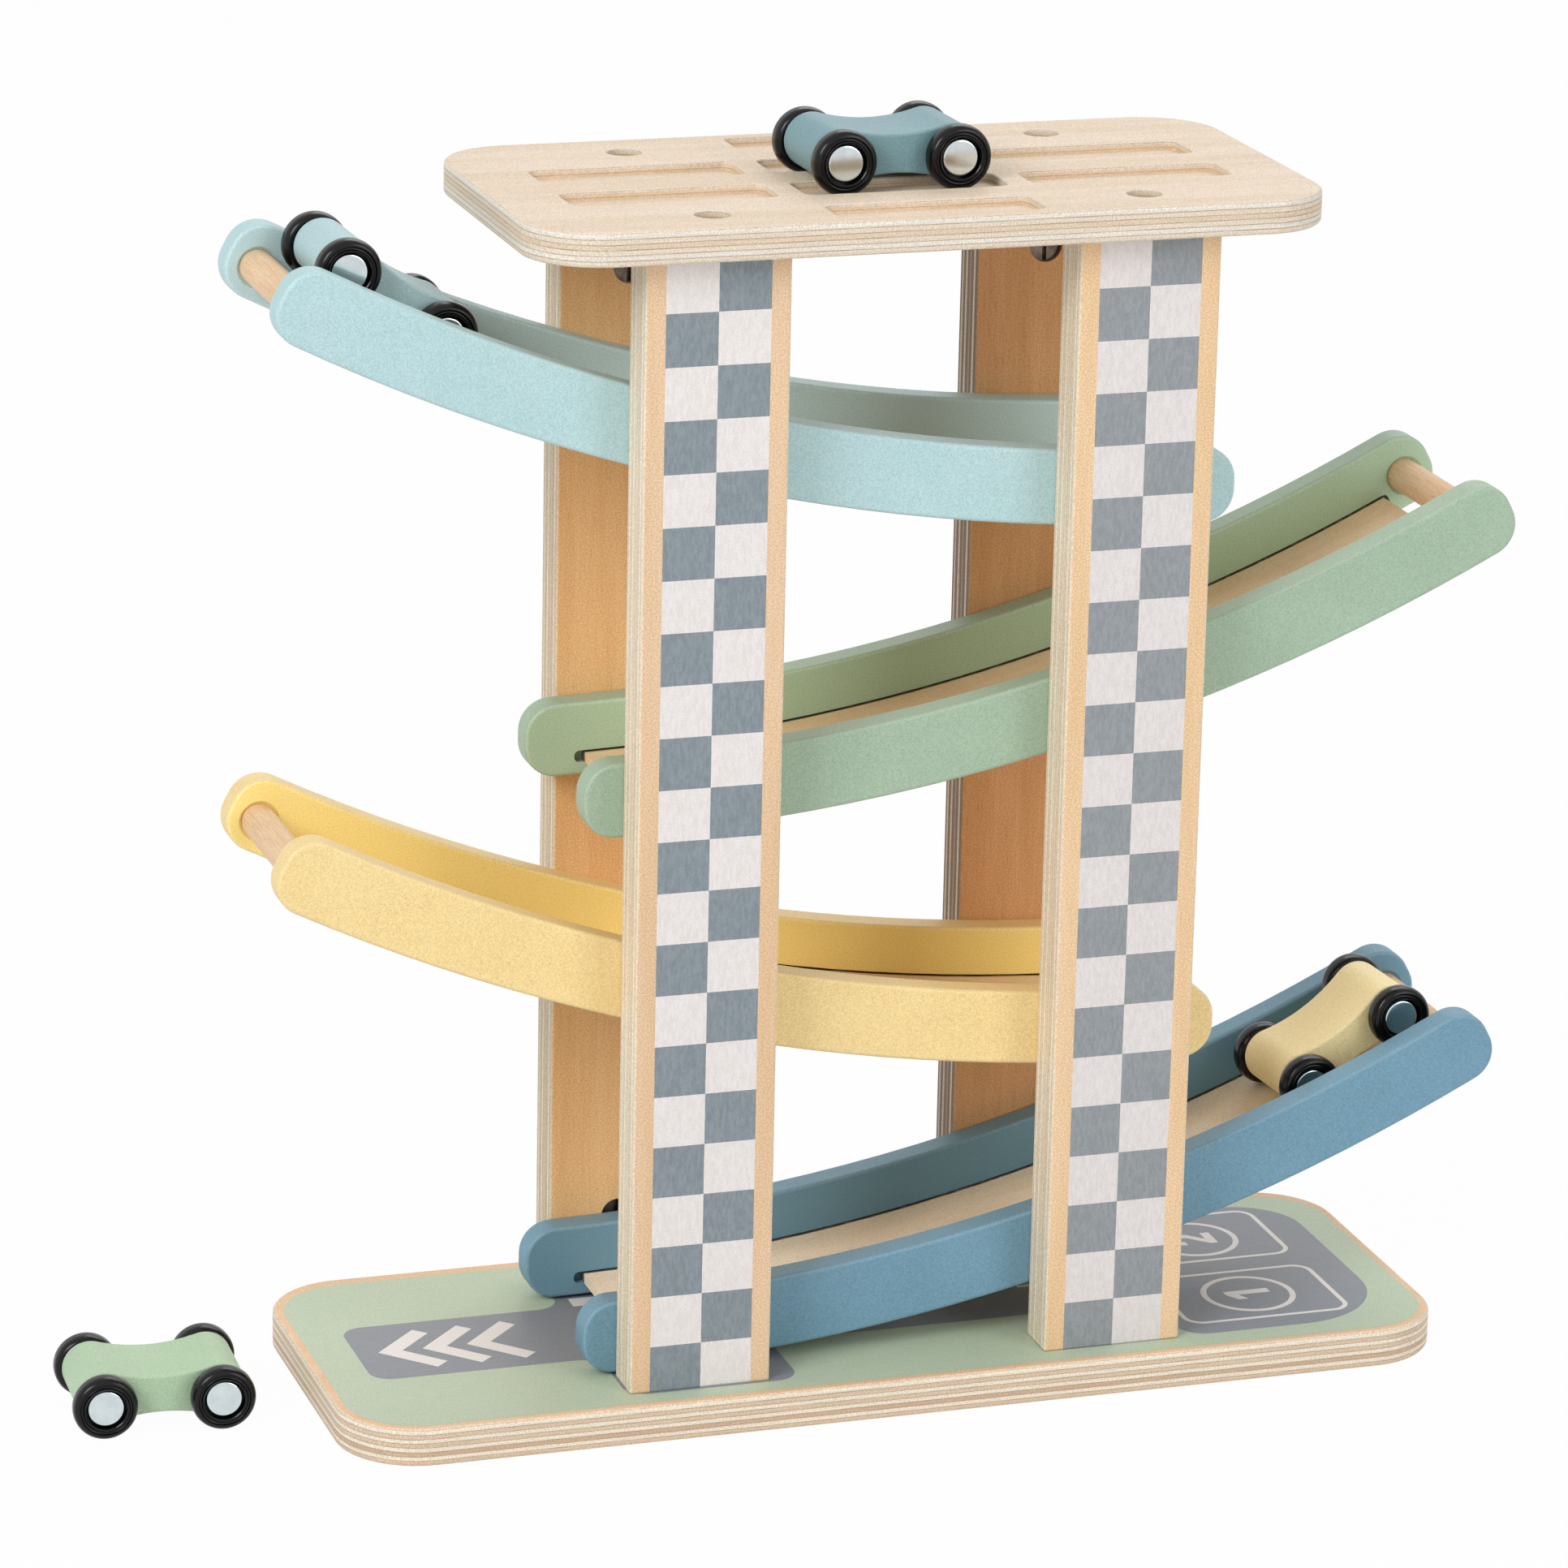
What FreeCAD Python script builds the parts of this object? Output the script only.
import FreeCAD, Part
import math
import os

# Toy race track: a tower of four curved ramps between two boards, with four cars.
# Millimetres. X runs along the boards, Y towards the back, Z up.
# The origin is the middle of the base board's underside.

# Base board
base_length = 336.0
base_width = 120.0
base_thickness = 11.5
base_corner = 24.0

# Top board with its parking grooves
top_length = 234.0
top_width = 120.0
top_thickness = 9.7
top_corner = 22.0
board_edge = 1.3
groove_length = 60.0
groove_width = 17.5
groove_depth = 2.5
groove_corner = 3.0
groove_row_gap = 13.5
groove_column_gap = 7.5
opening_edge = 0.35

# Posts
post_width = 42.0
post_thickness = 15.0
post_pitch = 126.5
post_spacing = 70.0
post_edge = 0.8

# Ramps: each one is a pair of rails bent to an arc, with a floor let into them
ramp_count = 4
ramp_pitch = 81.1
ramp_lift = 0.8
ramp_shift = 0.8
lowest_ramp_shift = 2.5
arc_radius = 600.0
arc_offset = 94.0
rail_depth = 22.0
rail_thickness = 9.0
rail_end = 9.5
rail_edge = 1.2
high_reach = 185.0
low_reach = 96.5
head_gap = 27.15

# Ramp floors and the grooves that hold them
floor_thickness = 3.0
floor_rise = 6.9
floor_housing = 3.0
housing_slack = 0.5
floor_side_gap = 0.2
floor_stop_gap = 3.8
drop_gap = 17.8

# Round bar across the high end of each ramp
stop_diameter = 10.0
stop_mouth = 1.0
blind_wall = 3.0

# Pegs between rails and posts
peg_diameter = 6.0
peg_in_post = 9.0
peg_end_gap = 0.3

# Connector bolts and their barrel nuts
bolt_diameter = 6.0
bolt_length = 35.0
bolt_hole_gap = 0.2
head_diameter = 9.6
head_height = 4.0
head_sink = 2.0
head_hole_gap = 0.2
hex_width = 4.0
hex_depth = 2.4
head_edge = 0.5
bolt_tip = 0.6
nut_diameter = 10.0
nut_inset = 22.0
nut_wall = 1.5
slot_width = 1.3
slot_depth = 1.5

# Cars
wheel_diameter = 18.8
wheel_width = 6.2
wheel_gap = 0.6
shoulder_depth = 2.5
shoulder_height = 1.6
ring_land = 0.15
ring_width = 1.1
ring_depth = 0.7
dish_edge = 0.25
wheel_base = 34.2
body_width = 25.5
body_raise = 0.85
lobe_diameter = 16.0
lobe_inset = 0.3
waist_height = 11.2
body_edge = 0.8
axle_diameter = 3.0
axle_running_gap = 0.05
cap_diameter = 11.0
cap_thickness = 1.8
cap_gap = 0.3
cap_surround = 0.45
cap_face = 2.1
cap_edge = 0.8
cap_front = 0.6

# Where the cars stand, and how far each is turned from the line of the track
seat_gap = 0.2
rib_gap = 0.2
lean_angle = 65.5
upper_bar_gap = 2.5
upper_car_side = 4.0
upper_car_turn = 2.3
lower_bar_gap = 1.4
lower_car_side = -1.0
lower_car_turn = 2.9
parked_car_shift = -0.4
parked_car_turn = 1.5
floor_car_gap = 17.8
floor_car_side = 1.0
floor_car_turn = -2.5

# Worked out from the sizes above
wheel_radius = wheel_diameter / 2
stop_radius = stop_diameter / 2
bolt_radius = bolt_diameter / 2
groove_row_pitch = groove_width + groove_row_gap
groove_column_pitch = groove_length + groove_column_gap
rail_outer_y = post_spacing / 2
channel_half = rail_outer_y - rail_thickness
post_x = post_pitch / 2
post_y = post_spacing / 2 + post_thickness / 2
arc_top = arc_radius - rail_depth
arc_middle = arc_radius - rail_depth / 2
floor_radius = arc_radius - floor_rise
wheel_y = body_width / 2 + wheel_gap + wheel_width / 2
peg_offset = (post_width / 2 + bolt_radius) / 2
stop_arc = arc_radius - rail_end


def vec(x, y, z):
    return FreeCAD.Vector(x, y, z)


def save(shape, node):
    """Writes one sub-part to its own STEP file."""
    shape.exportStep(os.path.join("parts", node + ".step"))


def rod(radius, start, end):
    """Round bar from one point to another."""
    path = end - start
    return Part.makeCylinder(radius, path.Length, start, path)


def block(low, high):
    """Box between two corners."""
    size = high - low
    return Part.makeBox(size.x, size.y, size.z, low)


def edges_along(shape, direction):
    """Straight edges that run along a direction."""
    found = []
    for edge in shape.Edges:
        if edge.Curve.TypeId == "Part::GeomLine":
            if abs(edge.tangentAt(edge.FirstParameter).dot(direction)) > 0.999:
                found.append(edge)
    return found


def edges_in_plane(shape, axis, value):
    """Edges whose whole length lies in the plane where one coordinate has this value."""
    found = []
    for edge in shape.Edges:
        box = edge.BoundBox
        low = getattr(box, axis + "Min")
        high = getattr(box, axis + "Max")
        if abs(low - value) < 0.001 and abs(high - value) < 0.001:
            found.append(edge)
    return found


def board(length, width, low_z, thickness, corner):
    """Flat board with round corners and eased edges."""
    low = vec(-length / 2, -width / 2, low_z)
    high = vec(length / 2, width / 2, low_z + thickness)
    plate = block(low, high)
    plate = plate.makeFillet(corner, edges_along(plate, vec(0, 0, 1)))
    rims = edges_in_plane(plate, "Z", low_z) + edges_in_plane(plate, "Z", low_z + thickness)
    return plate.makeFillet(board_edge, rims)


def corners():
    """The four post places, as signs of X and Y."""
    return [(side, row) for row in (-1, 1) for side in (-1, 1)]


def arc_centre(ramp):
    """Centre of a ramp's arc. Ramp 1 is the highest, and odd ramps have their high end at the left."""
    side = 1 if ramp % 2 else -1
    shift = lowest_ramp_shift if ramp == ramp_count else ramp_shift
    height = base_thickness + ramp_lift + (ramp_count - ramp) * ramp_pitch + arc_radius
    return vec(side * arc_offset + shift, 0, height)


def arc_height(ramp, x, radius):
    """Height of a ramp's arc of some radius above the point x."""
    centre = arc_centre(ramp)
    return centre.z - math.sqrt(radius ** 2 - (x - centre.x) ** 2)


top_underside = arc_height(1, -top_length / 2, arc_top) + head_gap
top_face = top_underside + top_thickness


def on_arc(angle, radius, y=0.0):
    """Point of a ramp whose high end is at the right, from its own arc centre."""
    a = math.radians(angle)
    return vec(radius * math.sin(a), y, -radius * math.cos(a))


def reach_angle(reach, radius):
    """Angle at which an arc gets this far out from its centre."""
    return math.degrees(math.asin(reach / radius))


def arc_bar(inner, outer, start, end, low_y, high_y):
    """Bar of rectangular section bent about the arc centre."""
    middle = (start + end) / 2
    inside = [on_arc(angle, inner, low_y) for angle in (start, middle, end)]
    outside = [on_arc(angle, outer, low_y) for angle in (end, middle, start)]
    outline = Part.Wire([
        Part.Arc(*inside).toShape(),
        Part.LineSegment(inside[2], outside[0]).toShape(),
        Part.Arc(*outside).toShape(),
        Part.LineSegment(outside[2], inside[0]).toShape(),
    ])
    return Part.Face(outline).extrude(vec(0, high_y - low_y, 0))


# Angles along a ramp, from straight below its arc centre towards its high end
end_turn = reach_angle(rail_end, stop_arc)
stop_angle = reach_angle(high_reach + arc_offset - rail_end, stop_arc)
low_angle = reach_angle(arc_offset - low_reach + rail_end, stop_arc)
rail_start = low_angle - end_turn
rail_finish = stop_angle + end_turn
floor_start = reach_angle(arc_offset - low_reach + drop_gap, floor_radius)
floor_finish = stop_angle - reach_angle(stop_radius + floor_stop_gap, floor_radius)
stop_place = on_arc(stop_angle, stop_arc)


def to_ramp(shape, ramp):
    """Puts a shape made about the arc centre in its place, mirrored for a high end at the left."""
    centre = arc_centre(ramp)
    placed = shape.copy()
    if ramp % 2:
        placed = placed.mirror(vec(0, 0, 0), vec(1, 0, 0))
    placed.translate(centre)
    return placed


def peg_places(ramp):
    """X and Z of the two pegs of each rail of a ramp, beside the bolts in the posts."""
    places = []
    for side in (-1, 1):
        x = side * (post_x - peg_offset)
        places.append((x, arc_height(ramp, x, arc_middle)))
    return places


def peg(x, z, row, gap):
    """Peg from rail into post, or its hole when the gap is 0."""
    rail_end_y = row * (channel_half + blind_wall + gap)
    post_end_y = row * (rail_outer_y + peg_in_post - gap)
    return rod(peg_diameter / 2, vec(x, rail_end_y, z), vec(x, post_end_y, z))


def rail(ramp, row):
    """One side of a ramp, with the housing of its floor and the holes for its bar and pegs."""
    inner_y = channel_half
    bar = arc_bar(arc_top, arc_radius, rail_start, rail_finish, inner_y, rail_outer_y)
    bar = bar.makeFillet(rail_end, edges_along(bar, vec(0, 1, 0)))
    rims = edges_in_plane(bar, "Y", inner_y) + edges_in_plane(bar, "Y", rail_outer_y)
    bar = bar.makeFillet(rail_edge, rims)
    slack = math.degrees(floor_thickness / floor_radius)
    housing = arc_bar(
        floor_radius - housing_slack,
        floor_radius + floor_thickness,
        floor_start - slack,
        floor_finish + slack / 2,
        inner_y - rail_edge,
        inner_y + floor_housing,
    )
    housing = housing.makeFillet(floor_thickness / 2, edges_along(housing, vec(0, 1, 0)))
    hole_end = vec(stop_place.x, rail_outer_y - blind_wall, stop_place.z)
    hole_mouth = vec(stop_place.x, inner_y, stop_place.z)
    hole = rod(stop_radius, hole_mouth, hole_end)
    mouth = Part.makeCone(stop_radius + stop_mouth, stop_radius, stop_mouth, hole_mouth, vec(0, 1, 0))
    bar = bar.cut([housing, hole, mouth])
    if row < 0:
        bar = bar.mirror(vec(0, 0, 0), vec(0, 1, 0))
    bar = to_ramp(bar, ramp)
    for x, z in peg_places(ramp):
        bar = bar.cut(peg(x, z, row, 0.0))
    return bar


def ramp_floor(ramp):
    """Thin bent floor between the rails of a ramp."""
    half = channel_half + floor_housing - floor_side_gap
    outer = floor_radius + floor_thickness
    return to_ramp(arc_bar(floor_radius, outer, floor_start, floor_finish, -half, half), ramp)


def stop_bar(ramp):
    """Round bar across the high end of a ramp."""
    half = rail_outer_y - blind_wall
    bar = rod(stop_radius, vec(stop_place.x, -half, stop_place.z), vec(stop_place.x, half, stop_place.z))
    return to_ramp(bar, ramp)


def bolt():
    """Connector bolt whose head stands on the XY plane, with its shank pointing down."""
    head = Part.makeCylinder(head_diameter / 2, head_height)
    head = head.makeChamfer(head_edge, edges_in_plane(head, "Z", head_height))
    shank = rod(bolt_radius, vec(0, 0, 0), vec(0, 0, -bolt_length))
    shank = shank.makeChamfer(bolt_tip, edges_in_plane(shank, "Z", -bolt_length))
    points = []
    for step in range(7):
        a = math.radians(60 * step)
        across = hex_width / math.sqrt(3)
        points.append(vec(across * math.cos(a), across * math.sin(a), head_height))
    socket = Part.Face(Part.makePolygon(points)).extrude(vec(0, 0, -hex_depth))
    return head.fuse(shank).removeSplitter().cut(socket)


def bolt_set(seat_z, from_below):
    """Four bolts whose heads bear at one height."""
    bolts = []
    for side, row in corners():
        one = bolt()
        if from_below:
            one.rotate(vec(0, 0, 0), vec(1, 0, 0), 180)
        one.translate(vec(side * post_x, row * post_y, seat_z))
        bolts.append(one)
    return Part.makeCompound(bolts)


# Heights of the bolt heads and barrel nuts
top_seat = top_face - head_sink - head_height
base_seat = head_sink + head_height
nut_heights = (base_thickness + nut_inset, top_underside - nut_inset)


def board_holes(seat_z, outside_z):
    """Stepped holes through a board for the four bolts."""
    inside_z = base_thickness if outside_z < seat_z else top_underside
    holes = []
    for side, row in corners():
        x = side * post_x
        y = row * post_y
        holes.append(rod(bolt_radius + bolt_hole_gap, vec(x, y, seat_z), vec(x, y, inside_z)))
        holes.append(rod(head_diameter / 2 + head_hole_gap, vec(x, y, outside_z), vec(x, y, seat_z)))
    return holes


def ease_openings(plate, z):
    """Chamfers the mouth of every opening in the face of a board at some height."""
    rims = []
    for face in plate.Faces:
        if abs(face.BoundBox.ZMin - z) < 0.001 and abs(face.BoundBox.ZMax - z) < 0.001:
            for wire in face.Wires:
                if not wire.isSame(face.OuterWire):
                    rims += wire.Edges
    return plate.makeChamfer(opening_edge, rims)


def parking_groove(column, row_y):
    """Shallow flat groove for two wheels in the top board."""
    low_x = column * groove_column_pitch - groove_length / 2
    low = vec(low_x, row_y - groove_width / 2, top_face - groove_depth)
    high = vec(low_x + groove_length, row_y + groove_width / 2, top_face + groove_depth)
    cutter = block(low, high)
    return cutter.makeFillet(groove_corner, edges_along(cutter, vec(0, 0, 1)))


def base_board():
    plate = board(base_length, base_width, 0.0, base_thickness, base_corner)
    return plate.cut(board_holes(base_seat, 0.0))


def top_board():
    plate = board(top_length, top_width, top_underside, top_thickness, top_corner)
    cutters = board_holes(top_seat, top_face)
    for row in (-1, 1):
        for column in (-1, 0, 1):
            cutters.append(parking_groove(column, row * groove_row_pitch / 2))
        cutters.append(parking_groove(0, row * groove_row_pitch * 1.5))
    return ease_openings(plate.cut(cutters), top_face)


def barrel_nut(side, row, z):
    """Cross dowel in a post, with its slotted end towards the ramps."""
    inner_y = row * (rail_outer_y + nut_wall)
    outer_y = row * (rail_outer_y + post_thickness - nut_wall)
    x = side * post_x
    nut = rod(nut_diameter / 2, vec(x, inner_y, z), vec(x, outer_y, z))
    thread = rod(bolt_radius, vec(x, row * post_y, z - nut_diameter), vec(x, row * post_y, z + nut_diameter))
    slot_end = inner_y + row * slot_depth
    low = vec(x - slot_width / 2, min(inner_y, slot_end), z - nut_diameter)
    high = vec(x + slot_width / 2, max(inner_y, slot_end), z + nut_diameter)
    return nut.cut([thread, block(low, high)])


def post(side, row):
    """Upright with a bolt hole in each end, nut holes in its inner face and peg holes."""
    x = side * post_x
    low = vec(x - post_width / 2, row * post_y - post_thickness / 2, base_thickness)
    high = vec(x + post_width / 2, row * post_y + post_thickness / 2, top_underside)
    upright = block(low, high)
    upright = upright.makeFillet(post_edge, edges_along(upright, vec(0, 0, 1)))
    cutters = []
    for end_z, way in ((base_thickness, 1), (top_underside, -1)):
        start = vec(x, row * post_y, end_z)
        cutters.append(rod(bolt_radius + bolt_hole_gap, start, start + vec(0, 0, way * bolt_length)))
    for z in nut_heights:
        mouth = vec(x, row * rail_outer_y, z)
        cutters.append(rod(nut_diameter / 2, mouth, mouth + vec(0, row * (post_thickness - nut_wall), 0)))
    for ramp in range(1, ramp_count + 1):
        for peg_x, peg_z in peg_places(ramp):
            if peg_x * side > 0:
                cutters.append(peg(peg_x, peg_z, row, 0.0))
    return upright.cut(cutters)


def car_body():
    """Two round lobes over the axles joined by a hollowed waist, flat underneath each lobe."""
    lobe = lobe_diameter / 2
    half_base = wheel_base / 2
    half_span = half_base - lobe_inset
    half_waist = waist_height / 2
    hollow = (half_span ** 2 + half_waist ** 2 - lobe ** 2) / (2 * (lobe - half_waist))
    lean = math.atan2(half_span, half_waist + hollow)
    join = vec(half_span - lobe * math.sin(lean), 0, lobe * math.cos(lean))
    y = -body_width / 2
    right_up = vec(join.x, y, join.z)
    left_up = vec(-join.x, y, join.z)
    left_down = vec(-join.x, y, -join.z)
    right_down = vec(join.x, y, -join.z)
    outline = Part.Wire([
        Part.Arc(right_up, vec(0, y, half_waist), left_up).toShape(),
        Part.Arc(left_up, vec(-half_span - lobe, y, 0), left_down).toShape(),
        Part.Arc(left_down, vec(0, y, -half_waist), right_down).toShape(),
        Part.Arc(right_down, vec(half_span + lobe, y, 0), right_up).toShape(),
    ])
    body = Part.Face(outline).extrude(vec(0, body_width, 0))
    body.translate(vec(0, 0, body_raise))
    flat_z = -(wheel_radius - groove_depth - rib_gap)
    reach = half_base + wheel_diameter
    body = body.cut(block(vec(-reach, -body_width, flat_z - wheel_diameter), vec(reach, body_width, flat_z)))
    rims = edges_in_plane(body, "Y", y) + edges_in_plane(body, "Y", -y)
    body = body.makeFillet(body_edge, rims)
    for side in (-1, 1):
        x = side * half_base
        body = body.cut(rod(axle_diameter / 2, vec(x, -body_width, 0), vec(x, body_width, 0)))
    return body


def turned(points_and_arcs):
    """Solid turned about the Y axis from a closed half section in the YZ plane."""
    face = Part.Face(Part.Wire(points_and_arcs))
    return face.revolve(vec(0, 0, 0), vec(0, 1, 0), 360)


def path(points):
    """Straight lines through a row of points, each given as distance along Y and radius."""
    spots = [vec(0, along, radius) for along, radius in points]
    return [Part.LineSegment(a, b).toShape() for a, b in zip(spots, spots[1:])]


def bend(start, end, round_y, round_z):
    """Quarter turn between two points about a centre."""
    a = vec(0, *start)
    b = vec(0, *end)
    centre = vec(0, round_y, round_z)
    middle = (a + b) * 0.5 - centre
    middle.normalize()
    return Part.Arc(a, centre + middle * (a - centre).Length, b).toShape()


def shoulder(side):
    """Quarter of an ellipse that rounds a tyre between its tread and one face of the wheel."""
    centre = vec(0, side * (wheel_width / 2 - shoulder_depth), wheel_radius - shoulder_height)
    along = centre + vec(0, side * shoulder_depth, 0)
    outward = centre + vec(0, 0, shoulder_height)
    return Part.ArcOfEllipse(Part.Ellipse(along, outward, centre), 0, math.pi / 2).toShape()


def wheel():
    """Wheel with a round tyre, a hollow ring inside it and a dished face for the cap.

    It is made about the Y axis with its outer face towards +Y and its middle at the origin.
    """
    half = wheel_width / 2
    bore = axle_diameter / 2 + axle_running_gap
    dish = cap_diameter / 2 + cap_surround
    dish_floor = cap_face - cap_thickness - cap_gap
    crown = half - shoulder_depth
    tyre_inside = wheel_radius - shoulder_height
    ring_radius = tyre_inside - ring_land - ring_width / 2
    ring_inside = vec(0, half, ring_radius - ring_width / 2)
    ring_outside = vec(0, half, ring_radius + ring_width / 2)
    section = path([(crown, wheel_radius), (-crown, wheel_radius)])
    section.append(shoulder(-1))
    section += path([
        (-half, tyre_inside),
        (-half, bore),
        (dish_floor, bore),
        (dish_floor, dish),
        (half - dish_edge, dish),
        (half, dish + dish_edge),
        (half, ring_inside.z),
    ])
    section.append(Part.Arc(ring_inside, vec(0, half - ring_depth, ring_radius), ring_outside).toShape())
    section += path([(half, ring_outside.z), (half, tyre_inside)])
    section.append(shoulder(1))
    return turned(section)


def axle():
    """Straight pin through the body and both wheels into its caps."""
    end = wheel_y + cap_face - cap_front
    return rod(axle_diameter / 2, vec(0, -end, 0), vec(0, end, 0))


def cap():
    """Pressed metal cap with a rounded rim, facing +Y, on the end of an axle."""
    face_y = wheel_y + cap_face
    back_y = face_y - cap_thickness
    socket_y = face_y - cap_front
    rim = cap_diameter / 2
    pin = axle_diameter / 2
    section = path([
        (face_y - cap_edge, rim),
        (back_y, rim),
        (back_y, pin),
        (socket_y, pin),
        (socket_y, 0),
        (face_y, 0),
        (face_y, rim - cap_edge),
    ])
    inner_y = face_y - cap_edge
    inner_rim = rim - cap_edge
    section.append(bend((face_y, inner_rim), (inner_y, rim), inner_y, inner_rim))
    return turned(section)


def car_place(middle, slope, turn, upright):
    """Place of a car: the point midway between its axles, its slope, and its turn about an axis."""
    pitch = FreeCAD.Rotation(vec(0, 1, 0), -slope)
    yaw = FreeCAD.Rotation(upright, turn)
    return FreeCAD.Placement(middle, yaw.multiply(pitch))


def leaning_place(ramp, bar_gap, to_side, turn):
    """Place of a car at the top of a ramp: lower wheels on the floor, upper wheels by the bar.

    It stands off the middle of the channel by to_side. The turn is about the square to the floor
    under the lower wheels, which both stay on it.
    """
    lean = math.radians(lean_angle)
    reach = wheel_radius + stop_radius + bar_gap
    upper = stop_place + vec(-reach * math.sin(lean), 0, reach * math.cos(lean))
    lower_arc = floor_radius - wheel_radius - seat_gap
    upper_arc = upper.Length
    between = (upper_arc ** 2 + lower_arc ** 2 - wheel_base ** 2) / (2 * upper_arc * lower_arc)
    upper_angle = math.degrees(math.atan2(upper.x, -upper.z))
    lower = on_arc(upper_angle - math.degrees(math.acos(between)), lower_arc)
    slope = math.degrees(math.atan2(upper.z - lower.z, upper.x - lower.x))
    middle = (upper + lower) * 0.5 + vec(0, to_side, 0)
    upright = vec(-lower.x, 0, -lower.z)
    if ramp % 2:
        middle.x = -middle.x
        upright.x = -upright.x
        slope = -slope
    return car_place(middle + arc_centre(ramp), slope, turn, upright)


def car_places():
    """Each car by name, with its place."""
    up = vec(0, 0, 1)
    parked = vec(parked_car_shift, 0, top_face - groove_depth + seat_gap + wheel_radius)
    beside_x = -base_length / 2 - floor_car_gap - wheel_radius - wheel_base / 2
    beside = vec(beside_x, floor_car_side, wheel_radius)
    return {
        "teal_car": car_place(parked, 0.0, parked_car_turn, up),
        "aqua_car": leaning_place(1, upper_bar_gap, upper_car_side, upper_car_turn),
        "yellow_car": leaning_place(ramp_count, lower_bar_gap, lower_car_side, lower_car_turn),
        "green_car": car_place(beside, 0.0, floor_car_turn, up),
    }


def axle_ends():
    """Names of the two axles with their X in the car's own frame."""
    return (("left", -wheel_base / 2), ("right", wheel_base / 2))


def save_car(name, place):
    """Writes the pieces of one car."""

    def put(shape, x, suffix):
        shape = shape.copy()
        shape.translate(vec(x, 0, 0))
        shape.Placement = place.multiply(shape.Placement)
        save(shape, name + "_" + suffix)

    put(car_body(), 0.0, "body")
    outward = wheel()
    outward.translate(vec(0, wheel_y, 0))
    caps = []
    for end, x in axle_ends():
        put(axle(), x, "axle_" + end)
        for row, word in ((-1, "front"), (1, "back")):
            one_wheel = outward.copy()
            one_cap = cap()
            if row < 0:
                one_wheel.rotate(vec(0, 0, 0), vec(0, 0, 1), 180)
                one_cap.rotate(vec(0, 0, 0), vec(0, 0, 1), 180)
            put(one_wheel, x, "wheel_" + word + "_" + end)
            one_cap.translate(vec(x, 0, 0))
            caps.append(one_cap)
    put(Part.makeCompound(caps), 0.0, "axle_caps")


def main():
    os.makedirs("parts", exist_ok=True)
    save(base_board(), "base_board")
    save(top_board(), "top_board")
    for side, row in corners():
        depth = "front" if row < 0 else "back"
        hand = "left" if side < 0 else "right"
        save(post(side, row), "post_" + depth + "_" + hand)
    pegs = []
    for ramp in range(1, ramp_count + 1):
        name = "ramp_" + str(ramp)
        save(rail(ramp, -1), name + "_rail_front")
        save(rail(ramp, 1), name + "_rail_back")
        save(ramp_floor(ramp), name + "_floor")
        save(stop_bar(ramp), name + "_stop_bar")
        for x, z in peg_places(ramp):
            pegs += [peg(x, z, row, peg_end_gap) for row in (-1, 1)]
    save(Part.makeCompound(pegs), "rail_pegs")
    nuts = [barrel_nut(side, row, z) for side, row in corners() for z in nut_heights]
    save(Part.makeCompound(nuts), "barrel_nuts")
    save(bolt_set(top_seat, False), "top_board_bolts")
    save(bolt_set(base_seat, True), "base_board_bolts")
    for name, place in car_places().items():
        save_car(name, place)


main()
